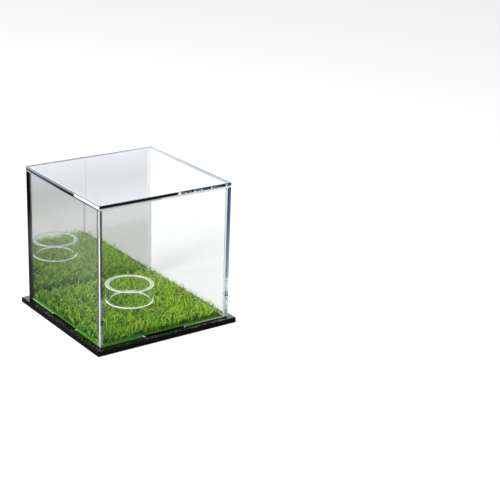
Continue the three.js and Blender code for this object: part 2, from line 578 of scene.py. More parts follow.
@dataclass(frozen=True)
class Blades(Finish):
    """Turf yarn, whose green varies from blade to blade, darkens towards the root as painted shade and
    lightens to the tip.
    """

    stops: Stops
    # Painted shade colour at the roots, where less light reaches.
    root: Colour
    tip: Colour
    roughness: float = 0.42
    root_shade_fade: float = 1.35
    root_cover: float = 0.92
    tip_cover: float = 0.5

    OWN_WAY = (0.6, 0.6, 0.6)
    UPWARDS = (0.0, 0.0, 0.7)
    TIP_POWER = 4.0

    def surface(self, net: Net) -> Wire:
        """Soft satin yarn.

        Args:
            net: the tree.

        Returns:
            The shader.
        """
        shade = net.out("ShaderNodeAttribute", {"attribute_name": "shade"}, None, "Fac")
        reach = net.out("ShaderNodeAttribute", {"attribute_name": "reach"}, None, "Fac")
        own = net.ramp(shade, self.stops)
        # Painted shade: the blade darkens towards its root.
        low = (1 - reach * self.root_shade_fade).math("MAXIMUM", 0.0)
        colour = net.mix(low * self.root_cover, own, self.root)
        colour = net.mix(reach ** self.TIP_POWER * self.tip_cover, colour, self.tip)
        return net.principled(
            Base_Color=colour, Roughness=shade * 0.15 + self.roughness, IOR=1.5,
            Specular_IOR_Level=0.3, Normal=self.lifted(net),
        )

    def lifted(self, net: Net) -> Wire:
        """The yarn's normal turned partly upwards, as light from above fills thin yarn.

        Args:
            net: the tree.

        Returns:
            The normal.
        """
        own = net.out("ShaderNodeNewGeometry", output="Normal")
        up = net.vector_math("MULTIPLY_ADD", own, self.OWN_WAY, self.UPWARDS)
        return net.vector_math("NORMALIZE", up)


@dataclass(frozen=True)
class WovenBacking(Finish):
    """The mat's backing, bright where it is cut and mottled above."""

    light: Colour
    dark: Colour

    def surface(self, net: Net) -> Wire:
        """Matt woven plastic.

        Args:
            net: the tree.

        Returns:
            The shader.
        """
        weave = net.out(
            "ShaderNodeTexWave", {"wave_type": "BANDS", "bands_direction": "DIAGONAL"},
            {"Vector": net.place(), "Scale": 320.0, "Distortion": 2.0, "Detail": 2.0},
            "Fac",
        )
        return net.principled(
            Base_Color=net.mix(weave, self.dark, self.light), Roughness=0.7,
            Normal=net.bump(weave, 0.5, 0.2 * MM),
        )


@dataclass(frozen=True)
class TapeFilm(Finish):
    """White double-sided tape with fine wrinkles."""

    colour: Colour = (0.72, 0.72, 0.68)
    raised: Colour = (0.8, 0.8, 0.77)

    WRINKLES = 200.0
    WRINKLE_STRETCH = (6.0, 1.0, 1.0)

    def surface(self, net: Net) -> Wire:
        """Matt film.

        Args:
            net: the tree.

        Returns:
            The shader.
        """
        wrinkles = net.noise(net.place(self.WRINKLE_STRETCH), self.WRINKLES, 3.0)
        return net.principled(
            Base_Color=net.mix(wrinkles, self.colour, self.raised), Roughness=0.6,
            Normal=net.bump(wrinkles, 0.3, 0.05 * MM),
        )


X, Y, Z = range(3)
INK = (0.002, 0.003, 0.004)
NIGHT = (0.012, 0.02, 0.028)
TEAL = (0.017, 0.038, 0.045)
NAVY = (0.012, 0.035, 0.09)
SLATE = (0.09, 0.14, 0.18)
STEEL = (0.19, 0.25, 0.29)
ASH = (0.07, 0.072, 0.075)
PEARL = (0.5, 0.52, 0.53)
WHITE = (0.86, 0.88, 0.9)
PALE = (0.82, 0.83, 0.82)

CLEAR = ClearAcrylic("clear_acrylic_polished")
BOND = ClearAcrylic("clear_cement_bond", ior=1.0, scuff=0.0)
RIM_TOP = SawnRim("clear_acrylic_sawn_rim", (0.42, 0.5, 0.42), (0.55, 0.62, 0.54), 0.65)
# The foot and the arris rims carry a painted glow, their last number.
RIM_FOOT = SawnRim("clear_acrylic_sawn_foot", (0.9, 0.92, 0.9), (0.95, 0.96, 0.95), 0.92, 0.3)
RIM_ARRIS = SawnRim("clear_acrylic_rim_arris", (0.9, 0.92, 0.91), (0.95, 0.96, 0.96), 0.85, 0.2)
# The cut edges below have painted light for tones, streaks and marks: near-black where an edge would
# reflect dark surroundings, white where it would catch a highlight.
LID_LEFT = CutEdge(
    "lid_edge_left", Y, ((-18, WHITE), (-17, INK)), NIGHT, 0.2,
    (
        PaintedReflection(STEEL, (Reach(Z, 98.7, 101), Reach(Y, -17.5, 51))),
        PaintedReflection(STEEL, (Reach(Z, 99.6, 101),)),
    ),
)
# Painted glints along the front edge's right part, and a painted image of what lies behind along its lower
# band.
LID_FRONT = CutEdge(
    "lid_edge_front", X, ((6, INK), (10, SLATE)), NIGHT, 0.4,
    (
        PaintedReflection(WHITE, (Reach(X, 9, 49, 3),), 1.5, 0.58),
        PaintedReflection(INK, (Reach(X, 10, 51, 3),), 1.3, 0.5),
        PaintedReflection(WHITE, (Reach(X, 8, 10.5),)),
        PaintedReflection((0.5, 0.5, 0.46), (Reach(Z, 96, 98.4), Reach(X, -51, -5))),
        PaintedReflection(WHITE, (Reach(Z, 96, 98.4), Reach(X, -5, 51))),
        PaintedReflection(SLATE, (Reach(Z, 99.9, 101),)),
    ),
)
LID_BACK = CutEdge("lid_edge_back", X, ((0.0, (0.02, 0.05, 0.1)),), SLATE, 0.2)
LID_RIGHT = CutEdge("lid_edge_right", Y, ((0.0, (0.0, 0.02, 0.07)),), STEEL, 0.2)
WALL_TOP = CutEdge("wall_edge_top", X, ((0.0, WHITE),), PEARL, 0.3)
RIGHT_TOP = CutEdge("right_wall_top", Y, ((0.0, (0.4, 0.5, 0.57)),), PEARL, 0.3)
# The two feet below: a painted green reflection of the turf, with painted highlights at the tab ends.
FRONT_FOOT = CutEdge(
    "front_wall_foot", X, ((0.0, (0.06, 0.17, 0.015)),), (0.12, 0.2, 0.05), 0.5,
    (
        PaintedReflection((0.4, 0.42, 0.4), (Reach(Y, -51, -49),)),
        PaintedReflection(WHITE, (Reach(X, -17.4, -16),)),
        PaintedReflection(STEEL, (Reach(X, 16, 17.4),)),
    ),
)
LEFT_FOOT = CutEdge(
    "left_wall_foot", Y, ((0.0, (0.07, 0.3, 0.01)),), (0.14, 0.42, 0.02), 0.5,
    (
        PaintedReflection((0.25, 0.28, 0.24), (Reach(X, -51, -49.5),)),
        PaintedReflection(WHITE, (Reach(Y, -17.4, -16),)),
        PaintedReflection(WHITE, (Reach(Y, 16, 17.4),)),
    ),
)
WALL_FOOT = CutEdge("wall_edge_foot", X, ((0.0, WHITE),), PEARL, 0.5)
FRONT_LEFT_END = CutEdge(
    "front_wall_left_end", Z, ((0.0, PEARL), (40, (0.62, 0.64, 0.64)), (100, PEARL)),
    WHITE, 0.4, inside=PALE,
)
# Painted glints, with a painted highlight line, on the front corners' edges.
PAINTED_GLINTS = (
    PaintedReflection(WHITE, (Reach(Z, 30.2, 31.9),)),
    PaintedReflection((0.5, 0.6, 0.65), (Reach(Z, 3, 30.2, 0.5),), 1.4, 0.56),
    PaintedReflection(NAVY, (Reach(Z, 18.5, 22),), 2.5, 0.42),
    PaintedReflection(NAVY, (Reach(Z, 3, 18),), 1.1, 0.6),
)
# Painted reflection tones up the front right corner: white low down, navy higher up.
RIGHT_TONES = (
    (29, (0.95, 1.0, 1.0)), (31, (0.4, 0.5, 0.54)), (45, (0.27, 0.36, 0.41)),
    (66, (0.12, 0.18, 0.22)), (76, (0.05, 0.12, 0.22)), (86, (0.03, 0.1, 0.25)),
    (94, (0.03, 0.06, 0.12)),
)
RIGHT_FRONT_END = CutEdge(
    "right_wall_front_end", Z, RIGHT_TONES, NIGHT, 0.3, PAINTED_GLINTS, inside=PALE
)
FRONT_RIGHT_END = CutEdge("front_wall_right_end", Z, RIGHT_TONES, SLATE, 0.5, PAINTED_GLINTS)
# Painted glowing highlight on the inner strip of the right wall's front end.
RIGHT_SEAM_GLOW = CutEdge("right_wall_front_seam_glow", Z, ((0.0, WHITE),), PEARL, 0.1, glow=0.25)
LEFT_FRONT_END = CutEdge(
    "left_wall_front_end", Z,
    (
        (8, (0.5, 0.53, 0.55)), (14, (0.25, 0.28, 0.3)), (36, (0.25, 0.29, 0.33)),
        (38, (0.04, 0.048, 0.055)), (60, (0.04, 0.045, 0.055)), (80, TEAL),
        (87, TEAL), (90, INK),
    ),
    INK, 0.4, PAINTED_GLINTS[2:], inside=PALE,
)
LEFT_BACK_END = CutEdge(
    "left_wall_back_end", Z,
    ((22, (0.012, 0.014, 0.012)), (50, (0.06, 0.062, 0.064)), (78, INK)), INK, 0.2, gloss=0.0,
)
MIRROR_LEFT_END = CutEdge(
    "mirror_wall_left_end", Z,
    ((22, (0.014, 0.016, 0.016)), (50, (0.03, 0.033, 0.037)), (72, INK)), INK, 0.3,
    gloss=0.0,
)
# Painted shade on the left wall's inner face beside the mirror's corner.
LEFT_SEAM_SHADE = CutEdge(
    "left_wall_back_seam_shade", Z,
    ((22, (0.03, 0.034, 0.028)), (45, (0.1, 0.1, 0.1)), (66, INK)), INK, 0.2,
)
# Painted dark reflection on the left wall's outer face by the back corner, with a paler painted colour
# from inside.
LEFT_CORNER = CutEdge(
    "left_wall_back_corner", Z,
    ((22, (0.025, 0.03, 0.025)), (50, (0.055, 0.057, 0.06)), (72, INK)), INK, 0.2,
    inside=(0.3, 0.32, 0.32), gloss=0.0,
)
# Painted glowing highlight on the back ends by the mirror.
RIGHT_BACK_END = CutEdge("right_wall_back_end", Z, ((0.0, WHITE),), PEARL, 0.2, glow=0.5)
BEAD = CutEdge("seam_bead", X, ((0.0, WHITE),), PEARL, 0.3)
# A near-black bead: a painted dark line along the lid's left seam.
DARK_BEAD = CutEdge("seam_bead_dark", Y, ((0.0, INK),), ASH, 0.3)
BLACK = BlackAcrylic("black_acrylic_polished")
SILVER = MirrorSilver("mirror_film_silver")
PAINT = MirrorPaint("mirror_back_paint")
BACKING = WovenBacking("turf_backing_weave", (0.16, 0.6, 0.01), (0.07, 0.36, 0.005))
TUFT_LAYER = WovenBacking("turf_tuft_layer", (0.08, 0.34, 0.008), (0.02, 0.1, 0.004))
TAPE = TapeFilm("turf_tape_film")
GRASS = Blades(
    "turf_blade_green",
    ((0.28, (0.01, 0.085, 0.003)), (0.46, (0.04, 0.38, 0.006)), (0.58, (0.13, 0.85, 0.012)),
     (0.76, (0.58, 1.0, 0.03))),
    (0.006, 0.035, 0.002),
    (0.8, 0.97, 0.05),
)
THATCH = Blades(
    "turf_thatch_yellow_green",
    ((0.1, (0.08, 0.62, 0.01)), (0.4, (0.52, 1.0, 0.03)), (0.9, (1.0, 1.0, 0.14))),
    (0.03, 0.12, 0.003),
    (0.98, 0.96, 0.14),
)


def placed(name: str, data: Any) -> bpy.types.Object:
    """Puts data into the scene.

    Args:
        name: the object's name.
        data: its mesh, lamp or camera.

    Returns:
        The object.
    """
    made = bpy.data.objects.new(name, data)
    bpy.context.scene.collection.objects.link(made)
    return made


def piece_of(name: str, shape: bmesh.types.BMesh, *finishes: Finish) -> bpy.types.Object:
    """A piece from a finished shape, which is freed.

    Args:
        name: the piece's name.
        shape: what it is made from.
        finishes: what its faces' material numbers stand for.

    Returns:
        The piece.
    """
    mesh = bpy.data.meshes.new(name)
    shape.to_mesh(mesh)
    shape.free()
    for finish in finishes:
        mesh.materials.append(finish.material())
    return placed(name, mesh)


def fit(piece: bpy.types.Object, body: Body, node: str | None = None) -> None:
    """Lets a piece ride on its body.

    Args:
        piece: the piece.
        body: what it rides on.
        node: the CAD node that it replaces, if there is one.
    """
    if node is not None:
        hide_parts(node)
    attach(piece, body.value)
    report(piece)


def grown(
    name: str, kind: "type[GrowTree]", inputs: Inputs, mesh: bpy.types.Mesh
) -> bpy.types.Object:
    """A piece that a Geometry Nodes tree makes, as a plain mesh.

    Args:
        name: the piece's name.
        kind: the tree's class.
        inputs: the tree's named inputs, each with its socket type and value.
        mesh: what the tree starts from.

    Returns:
        The piece, not yet riding on anything.
    """
    tree = bpy.data.node_groups.new(name + "_tree", "GeometryNodeTree")
    tree.interface.new_socket("Geometry", in_out="OUTPUT", socket_type="NodeSocketGeometry")
    tree.interface.new_socket("Geometry", in_out="INPUT", socket_type="NodeSocketGeometry")
    keys = {}
    for label, (socket, _) in inputs.items():
        item = tree.interface.new_socket(label, in_out="INPUT", socket_type="NodeSocket" + socket)
        keys[label] = item.identifier
    kind(tree).build()
    maker = placed(name + "_maker", mesh)
    modifier = maker.modifiers.new("grown", "NODES")
    modifier.node_group = tree
    for label, (_, value) in inputs.items():
        modifier[keys[label]] = value
    evaluated = maker.evaluated_get(bpy.context.evaluated_depsgraph_get())
    made = bpy.data.meshes.new_from_object(evaluated)
    maker.modifiers.clear()
    bpy.data.objects.remove(maker)
    return placed(name, made)


def report(piece: bpy.types.Object) -> None:
    """Says in the log how many faces a piece has."""
    LOG.info("%s: %d faces", piece.name, len(piece.data.polygons))


def dress(node: str, finish: Finish) -> None:
    """Gives a CAD node a finish, as its shape is right.

    Args:
        node: the node.
        finish: its finish.
    """
    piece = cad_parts[node]
    piece.data.materials.clear()
    piece.data.materials.append(finish.material())
    report(piece)


class Way(Enum):
    """The ways that an edge of a sheet can face."""

    LEFT = (-1.0, 0.0, 0.0)
    RIGHT = (1.0, 0.0, 0.0)
    FRONT = (0.0, -1.0, 0.0)
    BACK = (0.0, 1.0, 0.0)
    DOWN = (0.0, 0.0, -1.0)
    UP = (0.0, 0.0, 1.0)


@dataclass(frozen=True)
class Zone:
    """A strip of one side of a sheet that has a finish of its own."""

    side: Way
    towards: Way
    start: Vector
    finish: Finish

    SQUARE = 0.9

    def cut(self, shape: bmesh.types.BMesh) -> None:
        """Cuts the sheet's faces along the strip's start."""
        parts = [*shape.verts, *shape.edges, *shape.faces]
        bmesh.ops.bisect_plane(shape, geom=parts, plane_co=self.start, plane_no=Vector(self.towards.value))

    def holds(self, face: bmesh.types.BMFace) -> bool:
        """Whether a face lies in the strip.

        Args:
            face: the face.

        Returns:
            True if it does.
        """
        on_side = face.normal.dot(Vector(self.side.value)) > self.SQUARE
        beyond = (face.calc_center_median() - self.start).dot(Vector(self.towards.value))
        return on_side and beyond > 0.0


@dataclass
class ClearCover:
    """The five bonded sheets of the cover."""

    arris: float = 0.06 * MM
    weld: float = 0.001 * MM
    bead_radius: float = 0.2 * MM
    dark_radius: float = 0.42 * MM
    bead_inset: float = 0.1 * MM
    see_through: float = 1.6 * MM
    see_depth: float = 1.2 * MM
    right_depth: float = 1.3 * MM
    corner_width: float = 2.0 * MM
    seam_width: float = 1.9 * MM
    flat: float = math.radians(1)
    sharp: float = math.radians(20)

    def edges(self) -> dict[str, dict[Way, Finish]]:
        """The finish of each sheet's edges, by the way that they face.

        Returns:
            The finishes by node and way.
        """
        return {
            "front_wall": {
                Way.UP: WALL_TOP, Way.DOWN: FRONT_FOOT,
                Way.LEFT: FRONT_LEFT_END, Way.RIGHT: FRONT_RIGHT_END,
            },
            "left_wall": {
                Way.UP: WALL_TOP, Way.DOWN: LEFT_FOOT,
                Way.FRONT: LEFT_FRONT_END, Way.BACK: LEFT_BACK_END,
            },
            "right_wall": {
                Way.UP: RIGHT_TOP, Way.DOWN: WALL_FOOT,
                Way.FRONT: RIGHT_FRONT_END, Way.BACK: RIGHT_BACK_END,
            },
            "mirror_wall": {
                Way.UP: WALL_TOP, Way.DOWN: WALL_FOOT,
                Way.LEFT: MIRROR_LEFT_END, Way.RIGHT: RIGHT_BACK_END,
            },
            "top_panel": {
                Way.LEFT: LID_LEFT, Way.FRONT: LID_FRONT,
                Way.RIGHT: LID_RIGHT, Way.BACK: LID_BACK,
            },
        }

    def zones(self) -> dict[str, list[Zone]]:
        """Strips by the corners: bonded parts let light straight through, others carry painted shade and
        painted highlights.

        Returns:
            The strips by node.
        """
        front, left, right = (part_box(node) for node in ("front_wall", "left_wall", "right_wall"))
        joint = Vector((left[0].x + self.see_depth, front[1].y - self.see_through, 0.0))
        right_joint = Vector((right[0].x + self.right_depth, 0.0, 0.0))
        seam = Vector((0.0, left[1].y - self.seam_width, 0.0))
        corner = Vector((0.0, left[1].y - self.corner_width, 0.0))
        return {
            "front_wall": [
                Zone(Way.LEFT, Way.BACK, joint, CLEAR), Zone(Way.BACK, Way.LEFT, joint, BOND),
            ],
            "left_wall": [
                Zone(Way.FRONT, Way.LEFT, joint, BOND), Zone(Way.RIGHT, Way.BACK, seam, LEFT_SEAM_SHADE),
                Zone(Way.LEFT, Way.BACK, corner, LEFT_CORNER),
            ],
            "right_wall": [Zone(Way.FRONT, Way.LEFT, right_joint, RIGHT_SEAM_GLOW)],
        }

    def sheet(self, node: str, edges: dict[Way, Finish]) -> None:
        """Makes a clear sheet in place of its node, with softened arrises.

        Args:
            node: the CAD node.
            edges: its edges' finishes.
        """
        shape = bmesh.new()
        shape.from_mesh(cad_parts[node].data)
        bmesh.ops.remove_doubles(shape, verts=shape.verts, dist=self.weld)
        bmesh.ops.dissolve_limit(
            shape, angle_limit=self.flat, verts=shape.verts, edges=shape.edges
        )
        sharp = [edge for edge in shape.edges if edge.calc_face_angle() > self.sharp]
        bmesh.ops.bevel(
            shape, geom=sharp, offset=self.arris, segments=2, profile=0.5, affect="EDGES"
        )
        bmesh.ops.recalc_face_normals(shape, faces=shape.faces)
        zones = self.zones().get(node, [])
        for zone in zones:
            zone.cut(shape)
        finishes = list(dict.fromkeys([CLEAR, *edges.values(), *(zone.finish for zone in zones)]))
        low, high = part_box(node)
        broad = min(range(3), key=lambda axis: high[axis] - low[axis])
        for face in shape.faces:
            if abs(face.normal[broad]) < math.cos(self.flat):
                way = max(edges, key=lambda way: face.normal.dot(Vector(way.value)))
                face.material_index = finishes.index(edges[way])
            for zone in zones:
                if zone.holds(face):
                    face.material_index = finishes.index(zone.finish)
        piece = piece_of(node + "_sheet", shape, *finishes)
        fit(piece, Body.COVER, node)

    def beads(
        self, name: str, finish: Finish, radius: float, seams: list[tuple[Vector, Vector]]
    ) -> None:
        """Thin beads of cement along seams.

        Args:
            name: the piece's name.
            finish: its finish.
            radius: the beads' radius.
            seams: the two ends of each seam.
        """
        lines = bpy.data.meshes.new(name + "_lines")
        points = [tuple(end) for seam in seams for end in seam]
        steps = [(at, at + 1) for at in range(0, len(points), 2)]
        lines.from_pydata(points, steps, [])
        inputs = {"Radius": ("Float", radius), "Cement": ("Material", finish.material())}
        fit(grown(name, BeadTree, inputs, lines), Body.COVER)

    def seam_beads(self) -> None:
        """The beads in the seams' mouths under the lid."""
        inset, top = self.bead_inset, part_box("top_panel")[0].z
        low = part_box("front_wall")[0] + Vector((inset, inset, 0.0))
        high_x, high_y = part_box("right_wall")[1].x - inset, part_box("mirror_wall")[1].y - inset
        front_left, front_right, back_right, back_left = (
            Vector((x, y, top))
            for x, y in ((low.x, low.y), (high_x, low.y), (high_x, high_y), (low.x, high_y))
        )
        self.beads("lid_seam_bead", BEAD, self.bead_radius, [
            (front_left, front_right), (front_right, back_right),
        ])
        # The left bead is a painted dark line.
        self.beads("left_seam_bead", DARK_BEAD, self.dark_radius, [(front_left, back_left)])

    def build(self) -> None:
        """Makes the sheets and dresses the mirror's film and paint."""
        for node, edges in self.edges().items():
            self.sheet(node, edges)
        self.seam_beads()
        dress("mirror_film", SILVER)
        dress("mirror_backing", PAINT)


@dataclass
class RingSeat:
    """The clear ring that the ball sits in."""

    wall: float = 2.6 * MM
    rim_radius: float = 0.3 * MM
    rim_steps: int = 4
    hold: float = 0.05 * MM
    sides: int = 160

    def outline(self, low: float, high: float, outer: float) -> list[tuple[float, float, Finish]]:
        """The ring's section as radius, height and the finish of the step after it.

        Each corner is rounded, with a point a little before and after it that keeps the
        shading of the walls flat.

        Args:
            low: the lower rim's height.
            high: the upper rim's height.
            outer: the outer radius.

        Returns:
            The points, round the section.
        """
        inner = outer - self.wall
        corners = [
            (inner, low, math.pi, CLEAR, RIM_FOOT, RIM_FOOT),
            (outer, low, -math.pi / 2, RIM_FOOT, RIM_FOOT, CLEAR),
            (outer, high, 0.0, CLEAR, RIM_ARRIS, RIM_TOP),
            (inner, high, math.pi / 2, RIM_TOP, RIM_ARRIS, CLEAR),
        ]
        points = []
        for radius, height, start, before, round_it, after in corners:
            centre = Vector((
                radius + (self.rim_radius if radius == inner else -self.rim_radius),
                height + (self.rim_radius if height == low else -self.rim_radius),
            ))
            steps = range(self.rim_steps + 1)
            turns = [start + step / self.rim_steps * math.pi / 2 for step in steps]
            arc = [
                centre + self.rim_radius * Vector((math.cos(turn), math.sin(turn)))
                for turn in turns
            ]
            back = self.hold * Vector((math.sin(turns[0]), -math.cos(turns[0])))
            onward = self.hold * Vector((-math.sin(turns[-1]), math.cos(turns[-1])))
            points.append((*(arc[0] + back), before))
            points.extend((*point, round_it) for point in arc[:-1])
            points.append((*arc[-1], after))
            points.append((*(arc[-1] + onward), after))
        return points

    def build(self) -> None:
        """Makes the ring in place of its node."""
        low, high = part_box("ring_holder")
        middle = (low + high) / 2
        outline = self.outline(low.z, high.z, (high.x - low.x) / 2)
        finishes = [CLEAR, RIM_TOP, RIM_FOOT, RIM_ARRIS]
        shape = bmesh.new()
        rings = []
        for side in range(self.sides):
            turn = side * 2 * math.pi / self.sides
            rings.append([
                shape.verts.new((
                    middle.x + radius * math.cos(turn), middle.y + radius * math.sin(turn), height
                ))
                for radius, height, _ in outline
            ])
        for side, ring in enumerate(rings):
            after = rings[(side + 1) % self.sides]
            for at, (_, _, finish) in enumerate(outline):
                upper = (at + 1) % len(outline)
                face = shape.faces.new((ring[at], after[at], after[upper], ring[upper]))
                face.material_index = finishes.index(finish)
                face.smooth = True
        bmesh.ops.recalc_face_normals(shape, faces=shape.faces)
        piece = piece_of("ball_ring", shape, *finishes)
        fit(piece, Body.RING, "ring_holder")


@dataclass(frozen=True)
class Yarn:
    """One kind of yarn in the turf."""

    name: str
    finish: Finish
    seed: int
    rows: int
    blades: int
    length: float
    length_spread: float
    lean: float
    lean_spread: float
    bend: float
    bend_spread: float
    width: float
    patchiness: float
    stray: float

    def measures(self) -> Inputs:
        """The yarn's measures as its tree's inputs, each with its socket type and value."""
        names = [field.name for field in fields(self) if field.type is float]
        return {name.replace("_", " ").title(): ("Float", getattr(self, name)) for name in names}


BLADES = Yarn(
    name="turf_blades", finish=GRASS, seed=3, rows=38, blades=3, length=8.6 * MM,
    length_spread=0.35, lean=0.25, lean_spread=0.3, bend=0.8, bend_spread=0.6, width=0.8 * MM,
    patchiness=0.25, stray=1.6,
)
CURLS = Yarn(
    name="turf_curls", finish=THATCH, seed=7, rows=28, blades=2, length=10.0 * MM,
    length_spread=0.4, lean=0.25, lean_spread=0.4, bend=1.3, bend_spread=0.8, width=0.78 * MM,
    patchiness=0.3, stray=3.0,
)


@dataclass
class Turf:
    """The artificial turf mat: its tuft layer and the yarn that stands in it."""

    layer: float = 0.6 * MM
    tuft_radius: float = 0.9 * MM
    jitter: float = 0.9 * MM
    margin: float = 1.0 * MM
    wall_gap: float = 0.25 * MM
    ring_gap: float = 0.4 * MM

    def inputs(self, yarn: Yarn) -> Inputs:
        """The yarn tree's named inputs, each with its socket type and value.

        Args:
            yarn: the kind of yarn.

        Returns:
            The inputs by name.
        """
        low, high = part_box("turf_pile")
        ring_low, ring_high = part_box("ring_holder")
        inside_low = Vector((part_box("left_wall")[1].x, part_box("front_wall")[1].y, low.z))
        inside_high = Vector((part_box("right_wall")[0].x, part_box("mirror_wall")[0].y, high.z))
        gap = Vector((self.wall_gap, self.wall_gap, 0.0))
        ring = (ring_low + ring_high) / 2
        outer = (ring_high.x - ring_low.x) / 2
        return {
            "Mat Centre": ("Vector", self.layer_middle()),
            "Mat Width": ("Float", high.x - low.x - 2 * self.margin),
            "Mat Depth": ("Float", high.y - low.y - 2 * self.margin),
            "Rows": ("Int", yarn.rows),
            "Blades In Tuft": ("Int", yarn.blades),
            "Row Jitter": ("Float", self.jitter),
            "Tuft Radius": ("Float", self.tuft_radius),
            **yarn.measures(),
            "Low Corner": ("Vector", inside_low + gap),
            "High Corner": ("Vector", inside_high - gap),
            "Ring Centre": ("Vector", Vector((ring.x, ring.y, ring_low.z - self.ring_gap))),
            "Ring Inner": ("Float", outer - RingSeat.wall - self.ring_gap),
            "Ring Outer": ("Float", outer + self.ring_gap),
            "Seed": ("Int", yarn.seed),
            "Yarn": ("Material", yarn.finish.material()),
        }

    def layer_middle(self) -> Vector:
        """The middle of the layer that the yarn is tufted into."""
        low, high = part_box("turf_pile")
        return Vector(((low.x + high.x) / 2, (low.y + high.y) / 2, low.z + self.layer / 2))

    def layer_piece(self) -> bpy.types.Object:
        """The layer that the yarn is tufted into.

        Returns:
            The piece.
        """
        low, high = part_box("turf_pile")
        size = (high.x - low.x, high.y - low.y, self.layer)
        shape = bmesh.new()
        bmesh.ops.create_cube(shape, size=1.0)
        bmesh.ops.scale(shape, vec=size, verts=shape.verts)
        bmesh.ops.translate(shape, vec=self.layer_middle(), verts=shape.verts)
        bmesh.ops.bevel(shape, geom=shape.edges, offset=self.layer / 4, segments=2, affect="EDGES")
        return piece_of("turf_tuft_layer", shape, TUFT_LAYER)

    def build(self) -> None:
        """Makes the turf in place of its pile and dresses what lies under it."""
        pieces = [self.layer_piece()]
        for yarn in (BLADES, CURLS):
            seedbed = bpy.data.meshes.new(yarn.name + "_seedbed")
            pieces.append(grown(yarn.name, YarnTree, self.inputs(yarn), seedbed))
        for piece in pieces:
            fit(piece, Body.BASE, "turf_pile")
        dress("turf_backing", BACKING)
        dress("turf_tape_left", TAPE)
        dress("turf_tape_right", TAPE)


class GrowTree(Net):
    """A Geometry Nodes tree with named inputs."""

    def __init__(self, tree: bpy.types.NodeTree) -> None:
        """Holds the tree and gives it its input node."""
        super().__init__(tree)
        self.inputs = self.add("NodeGroupInput")

    def value(self, name: str) -> Wire:
        """One of the tree's named inputs."""
        return Wire(self, self.inputs.outputs[name])

    def geo(self, kind: str, **sockets: Any) -> Wire:
        """A Geometry node, with its inputs as make takes them."""
        return self.make("GeometryNode" + kind, **sockets)

    def finish_with(self, geometry: Wire, material: str) -> None:
        """Ends the tree: real geometry in the material of a named input.

        Args:
            geometry: what the tree made.
            material: the input.
        """
        real = self.geo("RealizeInstances", Geometry=geometry)
        coated = self.geo("SetMaterial", Geometry=real, Material=self.value(material))
        self.add("NodeGroupOutput", None, {"Geometry": coated})

    def build(self) -> None:
        """Makes the whole tree."""
        raise NotImplementedError


class BeadTree(GrowTree):
    """The tree that lays a bead of cement along each line of a mesh."""

    SIDES = 8

    def build(self) -> None:
        """Makes the whole tree."""
        seams = self.geo("MeshToCurve", Mesh=self.value("Geometry"))
        radius = self.value("Radius")
        section = self.geo("CurvePrimitiveCircle", Resolution=self.SIDES, Radius=radius)
        beads = self.geo("CurveToMesh", Curve=seams, Profile_Curve=section, Fill_Caps=True)
        self.finish_with(beads, "Cement")


